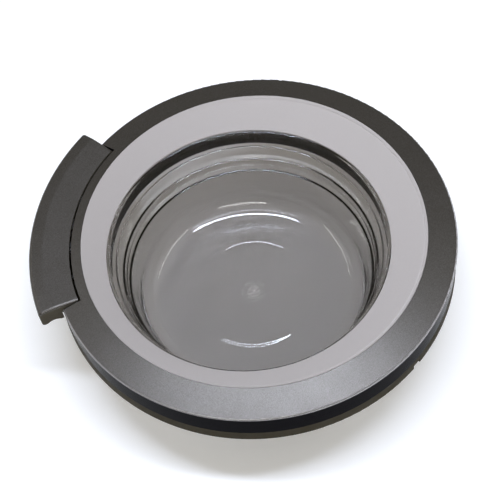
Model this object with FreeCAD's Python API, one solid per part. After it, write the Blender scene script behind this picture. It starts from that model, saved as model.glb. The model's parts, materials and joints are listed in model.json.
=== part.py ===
"""Front-loader washing machine door, lying face up on the flat underside of its glass bowl.

Millimetres. The origin is on the porthole axis, in the plane of the bowl's underside. +Z points out
of the door's front, the pull handle is at -X and the hinge at +X.
"""
import FreeCAD
import Part
import math
import os

Vec = FreeCAD.Vector
ORIGIN = Vec(0, 0, 0)
UP = Vec(0, 0, 1)
ACROSS = Vec(0, 1, 0)
HANDLE_SIDE = 180.0     # direction of the handle, in degrees about the porthole axis
LONG = 600.0            # longer than the door, for cutting tools
TINY = 1e-6

# Rings of the front, from the porthole outwards
APERTURE_R = 160.0      # clear porthole inside the silver trim
TRIM_W = 31.0           # silver trim, from porthole to crest
BAND_W = 32.5           # graphite band, from crest to outer edge
CREST_X = 7.6           # centre of the crest circle, towards the hinge
RING_X = 7.6            # centre of the outer ring, towards the hinge
WALL = 2.8              # wall of the moulded frames and of the handle cover
SEAM = 0.4              # seam between silver trim and graphite frame
FIT = 0.3               # clearance between pieces that locate each other

# Heights, measured down from the crest
CREST_Z = 141.0         # crest above the bowl's underside
APERTURE_DROP = 27.3    # edge of the porthole
EDGE_DROP = 7.3         # outer edge of the graphite face
PART_DROP = 38.5        # parting line between front and rear frame
REAR_DROP = 53.0        # rear face
EDGE_ROUND = 2.2        # rounding of the graphite face into the side wall
COLLAR_DEPTH = 9.0      # collar of the front frame that holds the trim's rim
COLLAR_WALL = 2.6
NICK_AT = 88.0          # nick in the front frame's edge, in degrees from the hinge
NICK_R = 4.2

# Silver trim
TRIM_WALL = 2.8         # measured along Z
TRIM_RIM = 2.6          # rim inside the front frame's collar
TRIM_FOOT = 2.5         # foot of the rim under the collar
TRIM_LIP_W = 3.0        # lip that rests on the glass flange
TRIM_LIP_H = 2.2

# Glass bowl
GLASS_STEP = 3.0        # glass shelf left showing inside the trim
GLASS_WALL = 5.0
GLASS_FLOOR = 6.0
FLANGE_W = 17.0         # flange outside the bowl's mouth
FLANGE_T = 5.5
BOWL_TAPER_W = 31.0     # the wall leans in this much from mouth to floor
FLOOR_ROUND = 24.0      # inner rounding between wall and floor
PAD_R = 74.0            # raised pad in the middle of the floor
PAD_H = 1.6
MOUTH_ROUND = 2.0
STEP_DROPS = (36.5, 51.5)   # pressed steps in the wall, below the flange's top
STEP_W = 2.0            # each step moves the wall out by this
STEP_H = 5.0            # height of a step
STEP_ROUND = 1.5

# Rear frame
REAR_FLARE = 1.6        # the rear edge is wider than the front edge
REAR_ROUND = 2.0
NECK_GAP = 1.0          # gap round the bowl's neck
NECK_WALL = 3.0
LIP_H = 5.0             # locating lip inside the front frame's side wall
LIP_WALL = 2.2
RIM_WALL = 2.2          # rim that centres the glass flange
NOTCH_AT = -34.0        # notch in the rear edge, in degrees from the hinge
NOTCH_W = 11.0
NOTCH_H = 7.0

# Screws that join the frames
FRAME_SCREW_INSET = 15.0    # bosses inside the outer edge
FRAME_SCREW_ANGLES = (25, 60, 95, 130)
WELL_R = 5.2            # wells in the rear frame that sink the screw heads
WELL_DEPTH = 5.0
WELL_WALL = 2.0
BOSS_R = 4.5
PILOT_R = 1.7
PILOT_DEPTH = 18.0
SCREW_R = 1.65
SCREW_HEAD_R = 3.9
SCREW_HEAD_H = 2.4
SCREW_LENGTH = 16.0
SCREW_PASS_R = 2.1
DRIVE_R = 1.3           # recess in the screw head
DRIVE_DEPTH = 1.4

# Handle
HANDLE_HALF = 29.7      # half of the handle's arc, in degrees
HANDLE_REACH = 26.3     # beyond the outer edge of the ring
HANDLE_DEPTH = 25.0     # lower edge of the handle's lip below the crest
HANDLE_CREASE = 11.0    # crease in the handle's face, beyond the outer edge of the ring
CREASE_RISE = 2.4       # the face rises this much from its inner edge to the crease
CREASE_FALL = 1.6       # the face falls this much from the crease to the lip
CREASE_ROUND = 12.0
HANDLE_ROUND = 5.0      # roll-over of the handle's outer edge
HANDLE_END_ROUND = 3.0  # rounded edge round the handle's ends
HANDLE_GAP = 2.5        # gap along the handle's inner edge
END_GAP = 1.7           # gap at the handle's ends
END_WALL_DROP = 14.0    # lower edge of the end walls inside the pocket
POCKET_DROP = 20.0      # lowered side wall of the ring behind the handle
SIDE_GAP = 1.5          # between ring side and the handle's end walls
SCOOP_R = 12.0          # arch in the lower edge of the end walls
SCOOP_SINK = 9.0
END_MARGIN = 1.0        # cutting tools go past the handle's ends, in degrees
LEVER_WALL = 2.5
LEVER_HALF = 24.0       # half of the lever's arc, in degrees
RIB_W = 1.8
RIB_H = 5.0
RIB_ANGLES = (-20, -10, 0, 10, 20)

# Axle of handle and hook
PIN_R = 2.0
PIN_RUN = 0.05          # running clearance round the axle
PIN_DROP = 12.0         # below the crest
PIN_HALF = 39.0
BOSS_GAP = 0.5          # between the hook's boss and the front frame's collar
EYE_R = 4.5             # eyes of the lever
EYE_Y = 27.0
EYE_W = 6.0
EYE_INSET = 5.2         # handle edge beyond the axle
LUG_REACH = 14.0
HOOK_BOSS_R = 5.0
HOOK_BOSS_HALF = 7.0
CLIP_R = 4.4
CLIP_T = 0.8
CLIP_SLOT = 2.6

# Latch bracket
SHEET = 2.5             # folded steel
CHEEK_Y = 34.0          # inner face of the cheeks
CHEEK_R = 4.8
CHEEK_GAP = 0.7         # room for the cheeks in the lever's plate
CHEEK_REACH = 7.0       # cheek beyond the axle
WEB_BACK = 12.5         # web behind the axle
FOOT_W = 13.0
FOOT_HOLE_IN = 6.5
FOOT_DEPTH = 18.0

# Hook
HOOK_HALF = 4.5
HOOK_BELOW = 28.0       # hook beyond the rear face
HOOK_BACK = 6.0         # outer face of the shank from the axle
HOOK_FRONT = 2.0        # inner face of the shank from the axle
HOOK_ROUND = 1.0
NOSE = 8.5
NOSE_H = 12.5
NOSE_LEAD = 9.0
HOOK_TRAVEL = 10.5      # room for the swing in the rear frame's slot
SLOT_GAP = 1.5
HORN_X = 12.0           # horn that the lever lifts
HORN_W = 3.5
HORN_T = 3.3
HORN_HALF = 11.0
STIRRUP_T = 2.7
STIRRUP_GAP = 0.4

# Return springs
WIRE_R = 0.6
COIL_R = 3.3
COIL_TURNS = 3
COIL_PITCH = 1.9
COIL_GAP = 1.0          # beside the hook's boss

# Hinge
HINGE_INSET = 11.0      # hinge axis inside the outer edge of the ring
HINGE_SINK = 10.0       # hinge axis behind the rear face
HINGE_PIN_R = 3.0
HINGE_HALF = 30.0       # half of the bracket's barrel
BARREL_R = 6.0
BUSH_WALL = 1.2
BUSH_FLANGE = 1.0
BUSH_LENGTH = 14.0
HINGE_CLIP_SLOT = 4.0
EAR_T = 3.0
EAR_R = 6.5
EAR_BACK = 15.0
LEAF_W = 26.0
LEAF_HALF = 48.0
LEAF_EDGE = 5.0         # leaf's edge from the hinge axis
LEAF_CORNER = 5.0
LEAF_SCREW_NEAR = 16.0  # inner pair of screws from the middle
LEAF_SCREW_EDGE = 7.0   # outer pair of screws from the leaf's end
LEAF_SCREW_R = 2.2
LEAF_SCREW_BACK = 14.0
BRACKET_T = 3.0
BRACKET_LENGTH = 36.0
BRACKET_HALF = 45.0
BRACKET_NECK = 14.0     # narrow part between the ears
BRACKET_NECK_HALF = 27.0
BRACKET_CORNER = 8.0
BRACKET_HOLE_R = 3.25
BRACKET_HOLE_Y = 32.0
BRACKET_HOLE_EDGE = 11.0

# Places that follow from the sizes above
crest_r = APERTURE_R + TRIM_W
ring_r = crest_r + BAND_W
part_z = CREST_Z - PART_DROP
rear_z = CREST_Z - REAR_DROP
floor_top = rear_z + WALL
aperture_z = CREST_Z - APERTURE_DROP
flange_top = aperture_z - TRIM_LIP_H
flange_low = flange_top - FLANGE_T
mouth_r = APERTURE_R - GLASS_STEP
neck_r = mouth_r + GLASS_WALL + NECK_GAP
flange_r = mouth_r + FLANGE_W
collar_r = crest_r + SEAM
collar_out = collar_r + COLLAR_WALL
pin_u = collar_out + RING_X - CREST_X + BOSS_GAP + HOOK_BOSS_R
pin_x = RING_X - pin_u
pin_z = CREST_Z - PIN_DROP
handle_in = pin_u + EYE_INSET
handle_out = ring_r + HANDLE_REACH
handle_low = CREST_Z - HANDLE_DEPTH
crease_u = ring_r + HANDLE_CREASE
screw_u = ring_r - FRAME_SCREW_INSET
well_z = rear_z + WELL_DEPTH
boss_z = well_z + WALL
hinge_x = RING_X + ring_r - HINGE_INSET
hinge_z = rear_z - HINGE_SINK
web_x = pin_x + WEB_BACK
foot_y = CHEEK_Y + SHEET + FOOT_HOLE_IN
horn_top = pin_z - COIL_R - WIRE_R - FIT


def face_z(radius):
    """Height of the graphite face at a radius about the ring's centre."""
    return CREST_Z - (radius - crest_r) * EDGE_DROP / BAND_W


def corner_arc(before, corner, after, radius):
    """Start, middle and end of the arc that rounds one corner of an outline."""
    back = (before - corner).normalize()
    ahead = (after - corner).normalize()
    half = back.getAngle(ahead) / 2
    reach = radius / math.tan(half)
    depth = radius / math.sin(half) - radius
    bisector = (back + ahead).normalize()
    return corner + back * reach, corner + bisector * depth, corner + ahead * reach


def outline(corners):
    """Closed wire through (point, rounding) corners; a rounding of 0 leaves a sharp corner."""
    arcs = []
    for index, (corner, radius) in enumerate(corners):
        before = corners[index - 1][0]
        after = corners[(index + 1) % len(corners)][0]
        if radius:
            arcs.append(corner_arc(before, corner, after, radius))
        else:
            arcs.append((corner, None, corner))
    edges = []
    for index, (start, middle, end) in enumerate(arcs):
        if middle is not None:
            edges.append(Part.Arc(start, middle, end).toShape())
        following = arcs[(index + 1) % len(arcs)][0]
        if end.distanceToPoint(following) > TINY:
            edges.append(Part.LineSegment(end, following).toShape())
    return Part.Wire(edges)


def rounding(corner):
    """Rounding of a corner that is given as two numbers, or as two numbers and a rounding."""
    return corner[2] if len(corner) > 2 else 0


def section(corners):
    """Upright face through corners (x, z) or (x, z, rounding)."""
    return Part.Face(outline([(Vec(c[0], 0, c[1]), rounding(c)) for c in corners]))


def revolved(corners, axis_x=0.0, middle=0.0, half=180.0):
    """Solid of revolution about a vertical axis, over half degrees each way from middle."""
    face = section(corners)
    face.rotate(ORIGIN, UP, middle - half)
    solid = face.revolve(ORIGIN, UP, 2 * half)
    solid.translate(Vec(axis_x, 0, 0))
    return solid


def ring_sector(corners, half):
    """Solid of revolution about the ring's centre, on the handle's side."""
    return revolved(corners, RING_X, HANDLE_SIDE, half)


def plate(corners, low, high):
    """Prism on a plan outline of corners (x, y) or (x, y, rounding)."""
    face = Part.Face(outline([(Vec(c[0], c[1], low), rounding(c)) for c in corners]))
    return face.extrude(UP * (high - low))


def web(corners, y_low, y_high):
    """Prism along Y on an upright outline of corners (x, z) or (x, z, rounding)."""
    face = section(corners)
    face.translate(ACROSS * y_low)
    return face.extrude(ACROSS * (y_high - y_low))


def box(x_range, y_range, z_range):
    """Block between two values on each axis."""
    size = [pair[1] - pair[0] for pair in (x_range, y_range, z_range)]
    return Part.makeBox(*size, Vec(x_range[0], y_range[0], z_range[0]))


def post(radius, low, high, x=0.0, y=0.0):
    """Upright cylinder."""
    return Part.makeCylinder(radius, high - low, Vec(x, y, low), UP)


def rod(radius, x, z, y_low, y_high):
    """Cylinder along Y."""
    return Part.makeCylinder(radius, y_high - y_low, Vec(x, y_low, z), ACROSS)


def both_sides(shape):
    """A shape and its mirror image across the XZ plane."""
    return [shape, shape.mirror(ORIGIN, ACROSS)]


def joined(shapes):
    """One solid from pieces that touch or overlap."""
    return shapes[0].multiFuse(shapes[1:]).removeSplitter()


def ring_point(radius, degrees):
    """Plan position at a radius and angle about the ring's centre."""
    turn = math.radians(degrees)
    return RING_X + radius * math.cos(turn), radius * math.sin(turn)


def frame_screw_places():
    """Plan positions of the screws that join the frames, on both sides of the hinge line."""
    angles = [side * angle for angle in FRAME_SCREW_ANGLES for side in (1, -1)]
    return [ring_point(screw_u, angle) for angle in angles]


def latch_screw_places():
    """Plan positions of the latch bracket's two screws."""
    x = web_x - FOOT_DEPTH / 2
    return [(x, foot_y), (x, -foot_y)]


def hinge_screw_places():
    """Plan positions of the hinge leaf's screws."""
    x = hinge_x - LEAF_EDGE - LEAF_SCREW_BACK
    return [(x, side * y) for y in (LEAF_SCREW_NEAR, LEAF_HALF - LEAF_SCREW_EDGE) for side in (1, -1)]


def screw(x, y, head_z, length):
    """Pan-head screw with its head below head_z and its shank upwards."""
    head = revolved([(0, head_z), (SCREW_HEAD_R, head_z),
                     (SCREW_HEAD_R, head_z - SCREW_HEAD_H, SCREW_HEAD_H / 2), (0, head_z - SCREW_HEAD_H)])
    drive = post(DRIVE_R, head_z - SCREW_HEAD_H, head_z - SCREW_HEAD_H + DRIVE_DEPTH)
    body = joined([head.cut(drive), post(SCREW_R, head_z, head_z + length)])
    body.translate(Vec(x, y, 0))
    return body


def front_envelope():
    """The front frame's outer form, solid."""
    inner = crest_r - TRIM_W
    return revolved([(inner, part_z), (ring_r, part_z), (ring_r, face_z(ring_r), EDGE_ROUND),
                     (inner, face_z(inner))], RING_X)


def front_frame():
    """Graphite ring: an open-backed channel with a collar for the trim and a pocket for the handle."""
    envelope = front_envelope()
    inner = crest_r - TRIM_W - WALL
    hollow = revolved([(inner, part_z - WALL), (ring_r - WALL, part_z - WALL),
                       (ring_r - WALL, face_z(ring_r) - WALL, EDGE_ROUND - WALL / 2),
                       (inner, face_z(inner) - WALL)], RING_X)
    collar = post(collar_out, CREST_Z - COLLAR_DEPTH, CREST_Z + WALL, CREST_X)
    bore = post(collar_r, 0, CREST_Z + LONG, CREST_X)
    shell = envelope.cut(hollow.cut(collar)).cut(bore)
    bosses = [post(BOSS_R, boss_z, CREST_Z, x, y).common(envelope) for x, y in frame_screw_places()]
    pilots = [post(PILOT_R, boss_z, boss_z + PILOT_DEPTH, x, y) for x, y in frame_screw_places()]
    end_gap_angle = math.degrees(END_GAP / ring_r)
    pocket_u = handle_in - HANDLE_GAP
    pocket_z = CREST_Z - POCKET_DROP
    pocket = ring_sector([(pocket_u, pocket_z), (handle_out, pocket_z), (handle_out, CREST_Z + WALL),
                          (pocket_u, CREST_Z + WALL)], HANDLE_HALF + end_gap_angle)
    nick_x, nick_y = ring_point(ring_r + NICK_R / 2, NICK_AT)
    nick = Part.makeSphere(NICK_R, Vec(nick_x, nick_y, face_z(ring_r)))
    return joined([shell] + bosses).cut(pilots + [pocket, nick])


def trim_cone(top_r, low_r):
    """Solid between the crest circle and the porthole circle, which have different centres."""
    top = Part.Wire(Part.makeCircle(top_r, Vec(CREST_X, 0, CREST_Z), UP))
    low = Part.Wire(Part.makeCircle(low_r, Vec(0, 0, aperture_z), UP))
    return Part.makeLoft([low, top], True, True)


def trim_ring():
    """Silver funnel between crest and porthole, with a rim under the frame and a lip on the glass."""
    funnel = trim_cone(crest_r, APERTURE_R)
    lower = trim_cone(crest_r, APERTURE_R)
    lower.translate(Vec(0, 0, -TRIM_WALL))
    rim_low = CREST_Z - COLLAR_DEPTH - TRIM_FOOT
    rim = post(crest_r, rim_low, CREST_Z, CREST_X).cut(post(crest_r - TRIM_RIM, rim_low, CREST_Z, CREST_X))
    foot = post(collar_out - SEAM, rim_low, rim_low + TRIM_FOOT, CREST_X)
    foot = foot.cut(post(crest_r - TRIM_RIM, rim_low, rim_low + TRIM_FOOT, CREST_X))
    lip = post(APERTURE_R + TRIM_LIP_W, flange_top, aperture_z + TRIM_WALL)
    porthole = post(APERTURE_R, 0, LONG)
    glass = post(flange_r, 0, flange_top)
    return joined([lower, rim, foot, lip]).cut([funnel, porthole, glass])


def wall_steps(thickness):
    """Corners of the pressed steps in the bowl's wall, upwards, this much outside the wall's inner face."""
    corners = []
    lean = BOWL_TAPER_W / (flange_top - GLASS_FLOOR)
    for drop in sorted(STEP_DROPS, reverse=True):
        for side in (-1, 1):
            z = flange_top - drop + side * STEP_H / 2
            radius = mouth_r - (flange_top - z) * lean + side * STEP_W / 2
            corners.append((radius + thickness, z, STEP_ROUND))
    return corners


def glass_bowl():
    """Pressed glass bowl: flange, leaning stepped wall, rounded floor with a raised pad, flat underside."""
    floor_r = mouth_r - BOWL_TAPER_W
    outer_round = FLOOR_ROUND + GLASS_WALL
    body = revolved([(0, 0), (floor_r + GLASS_WALL, 0, outer_round), *wall_steps(GLASS_WALL),
                     (mouth_r + GLASS_WALL, flange_low), (flange_r, flange_low, MOUTH_ROUND),
                     (flange_r, flange_top, MOUTH_ROUND), (0, flange_top)])
    hollow = revolved([(0, GLASS_FLOOR), (floor_r, GLASS_FLOOR, FLOOR_ROUND), *wall_steps(0),
                       (mouth_r, flange_top), (mouth_r, LONG), (0, LONG)])
    pad = revolved([(0, GLASS_FLOOR - PAD_H), (PAD_R, GLASS_FLOOR - PAD_H),
                    (PAD_R, GLASS_FLOOR + PAD_H, PAD_H), (0, GLASS_FLOOR + PAD_H)])
    return joined([body.cut(hollow), pad])


def hook_slot():
    """Slot in the rear frame that lets the hook through and gives it room to swing."""
    half = HOOK_HALF + SLOT_GAP
    return box((pin_x - HOOK_BACK - HOOK_TRAVEL, pin_x + HOOK_FRONT + NOSE + SLOT_GAP), (-half, half),
               (rear_z - WALL, floor_top + WALL))


def rear_frame():
    """Back half of the frame: floor, flared band, locating lip and the seat of the glass flange."""
    lip_out = ring_r - WALL - FIT
    inner = mouth_r
    ring = revolved([(inner, rear_z), (ring_r + REAR_FLARE, rear_z, REAR_ROUND), (ring_r, part_z),
                     (lip_out, part_z), (lip_out, part_z + LIP_H), (lip_out - LIP_WALL, part_z + LIP_H),
                     (lip_out - LIP_WALL, part_z - LIP_H), (ring_r + REAR_FLARE - WALL, floor_top + WALL),
                     (ring_r + REAR_FLARE - WALL, floor_top), (inner, floor_top)], RING_X)
    rim_in = flange_r + FIT
    seat_low = flange_low - WALL
    seat = revolved([(neck_r, rear_z), (neck_r + NECK_WALL, rear_z), (neck_r + NECK_WALL, seat_low),
                     (rim_in + RIM_WALL, seat_low), (rim_in + RIM_WALL, flange_top), (rim_in, flange_top),
                     (rim_in, flange_low), (neck_r, flange_low)])
    neck = post(neck_r, 0, LONG)
    wells = [post(WELL_R + WELL_WALL, rear_z, boss_z, x, y) for x, y in frame_screw_places()]
    passes = [post(WELL_R, rear_z, well_z, x, y) for x, y in frame_screw_places()]
    passes += [post(SCREW_PASS_R, well_z, boss_z, x, y) for x, y in frame_screw_places()]
    passes += [post(SCREW_PASS_R, rear_z, floor_top, x, y) for x, y in latch_screw_places()]
    passes += [post(LEAF_SCREW_R, rear_z, floor_top, x, y) for x, y in hinge_screw_places()]
    notch = box((ring_r - WALL * 2, ring_r + LONG), (-NOTCH_W / 2, NOTCH_W / 2),
                (rear_z - WALL, rear_z + NOTCH_H))
    notch.rotate(ORIGIN, UP, NOTCH_AT)
    notch.translate(Vec(RING_X, 0, 0))
    frame = joined([ring.cut(neck), seat] + wells)
    return frame.cut(passes + [hook_slot(), notch])


def frame_screws():
    """Screws through the rear frame into the front frame's bosses."""
    return Part.makeCompound([screw(x, y, well_z, SCREW_LENGTH) for x, y in frame_screw_places()])


def cover_z(radius):
    """Height of the handle's face at a radius about the ring's centre, before its edge is rounded."""
    crease_z = face_z(handle_in) + CREASE_RISE
    if radius > crease_u:
        return crease_z - (radius - crease_u) * CREASE_FALL / (handle_out - crease_u)
    return crease_z - (crease_u - radius) * CREASE_RISE / (crease_u - handle_in)


def end_edges(body):
    """Edges round the ends of the handle's solid form: over its face and down its lip."""
    found = []
    for edge in body.Edges:
        first, last = [vertex.Point for vertex in edge.Vertexes]
        same_end = first.y * last.y > 0
        outside = max(math.hypot(p.x - RING_X, p.y) for p in (first, last)) > handle_in + TINY
        raised = max(first.z, last.z) > handle_low + TINY
        if same_end and outside and raised:
            found.append(edge)
    return found


def handle_cover():
    """Graphite handle shell: flush with the ring at its inner edge, creased face, rounded arched ends."""
    body = ring_sector([(handle_in, handle_low), (handle_out, handle_low),
                        (handle_out, cover_z(handle_out), HANDLE_ROUND),
                        (crease_u, cover_z(crease_u), CREASE_ROUND),
                        (handle_in, cover_z(handle_in))], HANDLE_HALF)
    body = body.makeFillet(HANDLE_END_ROUND, end_edges(body))
    inner_out = handle_out - WALL
    start = handle_in - WALL
    hollow = ring_sector([(start, handle_low - WALL), (inner_out, handle_low - WALL),
                          (inner_out, cover_z(inner_out) - WALL, HANDLE_ROUND - WALL),
                          (crease_u, cover_z(crease_u) - WALL, CREASE_ROUND), (start, cover_z(start) - WALL)],
                         HANDLE_HALF - math.degrees(WALL / ring_r))
    side = ring_r + SIDE_GAP
    end_z = CREST_Z - END_WALL_DROP
    under_z = handle_low - WALL
    under = ring_sector([(start, under_z), (side, under_z), (side, end_z), (start, end_z)],
                        HANDLE_HALF + END_MARGIN)
    scoop_u = (side + inner_out) / 2
    scoop = Part.Face(Part.Wire(Part.makeCircle(SCOOP_R, Vec(scoop_u, 0, handle_low - SCOOP_SINK), ACROSS)))
    scoop.rotate(ORIGIN, UP, HANDLE_SIDE - HANDLE_HALF - END_MARGIN)
    scoop = scoop.revolve(ORIGIN, UP, 2 * (HANDLE_HALF + END_MARGIN))
    scoop.translate(Vec(RING_X, 0, 0))
    return body.cut([hollow, under, scoop])


def lever_face(radius):
    """Height of the lever's plate, which lies against the handle cover's underside."""
    return cover_z(radius) - WALL


def lever_rib(angle):
    """Stiffening rib across the lever, at an angle from the handle's middle."""
    side = ring_r + REAR_FLARE + SIDE_GAP
    end = handle_out - WALL - HANDLE_ROUND
    low = lever_face(end) - LEVER_WALL - RIB_H
    rib = web([(side, lever_face(side) - LEVER_WALL / 2), (crease_u, lever_face(crease_u) - LEVER_WALL / 2),
               (end, lever_face(end) - LEVER_WALL), (end, low), (side, low)], -RIB_W / 2, RIB_W / 2)
    rib.rotate(ORIGIN, UP, HANDLE_SIDE + angle)
    rib.translate(Vec(RING_X, 0, 0))
    return rib


def handle_lever():
    """Black lever under the handle cover: plate, ribs, pivot eyes and the stirrup that lifts the hook."""
    start = handle_in + WALL
    end = crease_u - CREASE_ROUND / 2
    plate_body = ring_sector([(start, lever_face(start)), (start, lever_face(start) - LEVER_WALL),
                              (end, lever_face(end) - LEVER_WALL), (end, lever_face(end))], LEVER_HALF)
    ribs = [lever_rib(angle) for angle in RIB_ANGLES]
    above = revolved([(crest_r, lever_face(crest_r)), (crease_u, lever_face(crease_u)),
                      (crease_u, CREST_Z + LONG), (crest_r, CREST_Z + LONG)], RING_X)
    lug = web([(pin_x, pin_z + EYE_R), (pin_x - LUG_REACH, pin_z + EYE_R + WALL),
               (pin_x - LUG_REACH, lever_face(pin_u + LUG_REACH) - LEVER_WALL), (pin_x, pin_z - EYE_R)],
              EYE_Y, EYE_Y + EYE_W)
    eye = rod(EYE_R, pin_x, pin_z, EYE_Y, EYE_Y + EYE_W)
    post_y = HORN_HALF + STIRRUP_GAP
    bar_top = horn_top - HORN_T - FIT
    bar_x = (pin_x - HORN_X, pin_x - HORN_X + HORN_W)
    stirrup_post = box(bar_x, (post_y, post_y + STIRRUP_T), (bar_top - STIRRUP_T, CREST_Z))
    stirrup_bar = box(bar_x, (-post_y - STIRRUP_T, post_y + STIRRUP_T), (bar_top - STIRRUP_T, bar_top))
    hung = [part.cut(above) for shape in (lug, eye, stirrup_post) for part in both_sides(shape)]
    lever = joined([plate_body, stirrup_bar] + ribs + hung)
    bore = rod(PIN_R + PIN_RUN, pin_x, pin_z, -LONG / 2, LONG / 2)
    cheek_room = rod(CHEEK_R + CHEEK_GAP, pin_x, pin_z, EYE_Y + EYE_W, PIN_HALF + CHEEK_GAP)
    return lever.cut([bore] + both_sides(cheek_room))


def handle_pin():
    """Axle of the handle and the hook."""
    return rod(PIN_R, pin_x, pin_z, -PIN_HALF, PIN_HALF)


def spring_clip(x, z, y_low, bore_r, outer_r, slot):
    """Retaining clip: a flat ring with one open side."""
    ring = rod(outer_r, x, z, y_low, y_low + CLIP_T).cut(rod(bore_r, x, z, y_low, y_low + CLIP_T))
    return ring.cut(box((x - slot / 2, x + slot / 2), (y_low, y_low + CLIP_T), (z - outer_r, z)))


def pin_clips():
    """Clips at both ends of the handle's axle, outside the bracket's cheeks."""
    clip = spring_clip(pin_x, pin_z, CHEEK_Y + SHEET, PIN_R + PIN_RUN, CLIP_R, CLIP_SLOT)
    return Part.makeCompound(both_sides(clip))


def latch_bracket():
    """Folded steel bracket: a web, two cheeks that carry the axle and two feet on the rear frame."""
    web_top = horn_top
    web_plate = box((web_x - SHEET, web_x), (-CHEEK_Y - SHEET, CHEEK_Y + SHEET), (floor_top, web_top))
    cheek = web([(web_x, floor_top), (web_x, web_top), (pin_x, pin_z + CHEEK_R), (pin_x - CHEEK_R, pin_z),
                 (pin_x - CHEEK_REACH, floor_top)], CHEEK_Y, CHEEK_Y + SHEET)
    eye = rod(CHEEK_R, pin_x, pin_z, CHEEK_Y, CHEEK_Y + SHEET)
    foot = plate([(web_x, CHEEK_Y), (web_x, CHEEK_Y + SHEET + FOOT_W, SHEET),
                  (web_x - FOOT_DEPTH, CHEEK_Y + SHEET + FOOT_W, SHEET), (web_x - FOOT_DEPTH, CHEEK_Y)],
                 floor_top, floor_top + SHEET)
    sides = [part for shape in (cheek, eye, foot) for part in both_sides(shape)]
    holes = [post(PILOT_R, floor_top, floor_top + SHEET, x, y) for x, y in latch_screw_places()]
    bore = rod(PIN_R + PIN_RUN, pin_x, pin_z, -LONG / 2, LONG / 2)
    return joined([web_plate] + sides).cut(holes + [bore])


def latch_bracket_screws():
    """Screws through the rear frame into the latch bracket's feet."""
    length = WALL + SHEET * 2
    return Part.makeCompound([screw(x, y, rear_z, length) for x, y in latch_screw_places()])


def latch_hook():
    """Die-cast hook: boss on the axle, shank, nose towards the porthole and a horn for the lever."""
    tip_z = rear_z - HOOK_BELOW
    back_x = pin_x - HOOK_BACK
    front_x = pin_x + HOOK_FRONT
    shank = web([(pin_x - HOOK_BOSS_R, pin_z), (back_x, rear_z), (back_x, tip_z, HOOK_FRONT), (pin_x, tip_z),
                 (front_x + NOSE, tip_z + NOSE_LEAD, HOOK_ROUND), (front_x + NOSE, tip_z + NOSE_H),
                 (front_x, tip_z + NOSE_H, HOOK_ROUND), (front_x, rear_z), (pin_x + HOOK_BOSS_R, pin_z)],
                -HOOK_HALF, HOOK_HALF)
    boss = rod(HOOK_BOSS_R, pin_x, pin_z, -HOOK_BOSS_HALF, HOOK_BOSS_HALF)
    horn_arm = web([(pin_x, pin_z + PIN_R), (pin_x - HORN_X, horn_top), (pin_x - HORN_X, horn_top - HORN_T),
                    (pin_x, horn_top - HORN_T)], -HOOK_HALF, HOOK_HALF)
    horn = box((pin_x - HORN_X, pin_x - HORN_X + HORN_W), (-HORN_HALF, HORN_HALF),
               (horn_top - HORN_T, horn_top))
    hook = joined([shank, boss, horn_arm, horn])
    return hook.cut(rod(PIN_R + PIN_RUN, pin_x, pin_z, -LONG / 2, LONG / 2))


def spring(side):
    """Torsion spring round the axle: one leg on the bracket's web, one on the hook's horn."""
    height = COIL_TURNS * COIL_PITCH
    helix = Part.Wire(Part.makeHelix(COIL_PITCH, height, COIL_R))
    start = Part.Wire(Part.makeCircle(WIRE_R, Vec(COIL_R, 0, 0), ACROSS))
    coil = helix.makePipeShell([start], True, True)
    web_leg = Part.makeCylinder(WIRE_R, WEB_BACK, Vec(COIL_R, 0, 0), -ACROSS)
    horn_leg = Part.makeCylinder(WIRE_R, HORN_X, Vec(COIL_R, 0, height), ACROSS)
    wound = joined([coil, web_leg, horn_leg])
    wound.rotate(ORIGIN, Vec(1, 0, 0), -90)
    wound.rotate(ORIGIN, ACROSS, 90)
    beside_boss = HOOK_BOSS_HALF + COIL_GAP + WIRE_R
    wound.translate(Vec(pin_x, -beside_boss - height, pin_z))
    return both_sides(wound)[side]


def hinge_leaf():
    """Steel leaf under the rear frame, with two ears that hold the hinge pin."""
    outer = hinge_x - LEAF_EDGE
    inner = outer - LEAF_W
    leaf = plate([(outer, -LEAF_HALF, LEAF_CORNER), (outer, LEAF_HALF, LEAF_CORNER),
                  (inner, LEAF_HALF, LEAF_CORNER), (inner, -LEAF_HALF, LEAF_CORNER)], rear_z - SHEET, rear_z)
    ear_y = HINGE_HALF + BUSH_FLANGE + FIT
    ear = web([(hinge_x - EAR_BACK, rear_z), (hinge_x, rear_z), (hinge_x + EAR_R, hinge_z),
               (hinge_x - EAR_R, hinge_z), (hinge_x - EAR_BACK, rear_z - SHEET)], ear_y, ear_y + EAR_T)
    eye = rod(EAR_R, hinge_x, hinge_z, ear_y, ear_y + EAR_T)
    ears = [part for shape in (ear, eye) for part in both_sides(shape)]
    holes = [post(LEAF_SCREW_R, rear_z - SHEET, rear_z, x, y) for x, y in hinge_screw_places()]
    bore = rod(HINGE_PIN_R + PIN_RUN, hinge_x, hinge_z, -LONG / 2, LONG / 2)
    return joined([leaf] + ears).cut(holes + [bore])


def hinge_backing_plate():
    """Steel plate inside the rear frame that takes the hinge screws."""
    outer = hinge_x - LEAF_EDGE
    inner = outer - LEAF_W
    backing = plate([(outer, -LEAF_HALF, LEAF_CORNER), (outer, LEAF_HALF, LEAF_CORNER),
                     (inner, LEAF_HALF, LEAF_CORNER), (inner, -LEAF_HALF, LEAF_CORNER)],
                    floor_top, floor_top + SHEET)
    return backing.cut([post(PILOT_R, floor_top, floor_top + SHEET, x, y) for x, y in hinge_screw_places()])


def hinge_screws():
    """Screws through leaf and rear frame into the backing plate."""
    length = SHEET * 3 + WALL
    return Part.makeCompound([screw(x, y, rear_z - SHEET, length) for x, y in hinge_screw_places()])


def bracket_hole_x():
    """Line of the hinge bracket's two screw holes."""
    return hinge_x - BRACKET_LENGTH + BRACKET_HOLE_EDGE


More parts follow.
